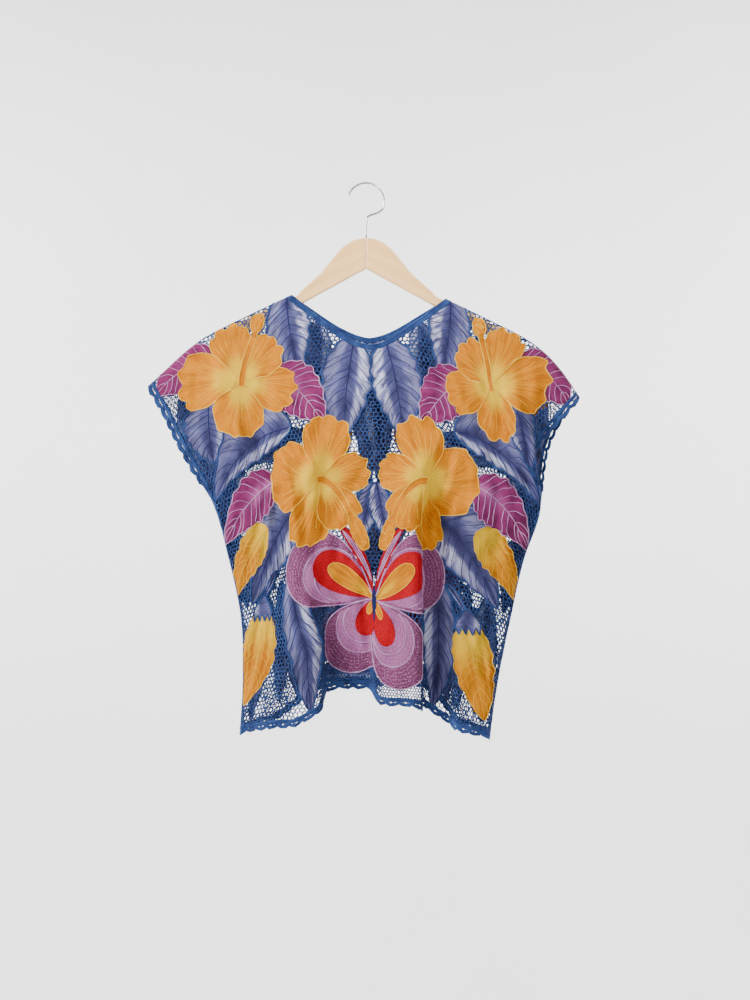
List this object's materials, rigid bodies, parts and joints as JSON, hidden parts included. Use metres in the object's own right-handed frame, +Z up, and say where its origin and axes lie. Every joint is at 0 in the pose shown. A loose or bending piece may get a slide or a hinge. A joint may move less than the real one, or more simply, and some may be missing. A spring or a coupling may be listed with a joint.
{
  "type": "mesh top on a hanger",
  "caption": "Cutwork mesh top with cap sleeves, hung on a wooden hanger with a wire hook; open neck, cuffs and hem.",
  "frame": {"origin": "inside the top of the wire hook, where the nail or rail holds it", "axes": "+Z up, +X to the viewer's right across the shoulders, the front of the top faces -Y"},
  "size_m": [0.6264, 0.0947, 0.808],
  "materials": {
    "cloth": "dyed cutwork cotton with net between its figures",
    "cord": "corded, close stitched edge",
    "wood": "pale clear-coated wood",
    "wire": "plated steel wire"
  },
  "bodies": {
    "root": {"front_panel": "cloth", "back_panel": "cloth", "neck_edging_front": "cord", "neck_edging_back": "cord", "cuff_edging_left_front": "cord", "cuff_edging_left_back": "cord", "cuff_edging_right_front": "cord", "cuff_edging_right_back": "cord", "hem_edging_front": "cord", "hem_edging_back": "cord", "hanger_arm_left": "wood", "hanger_arm_right": "wood", "hook": "wire"}
  },
  "joints": []
}
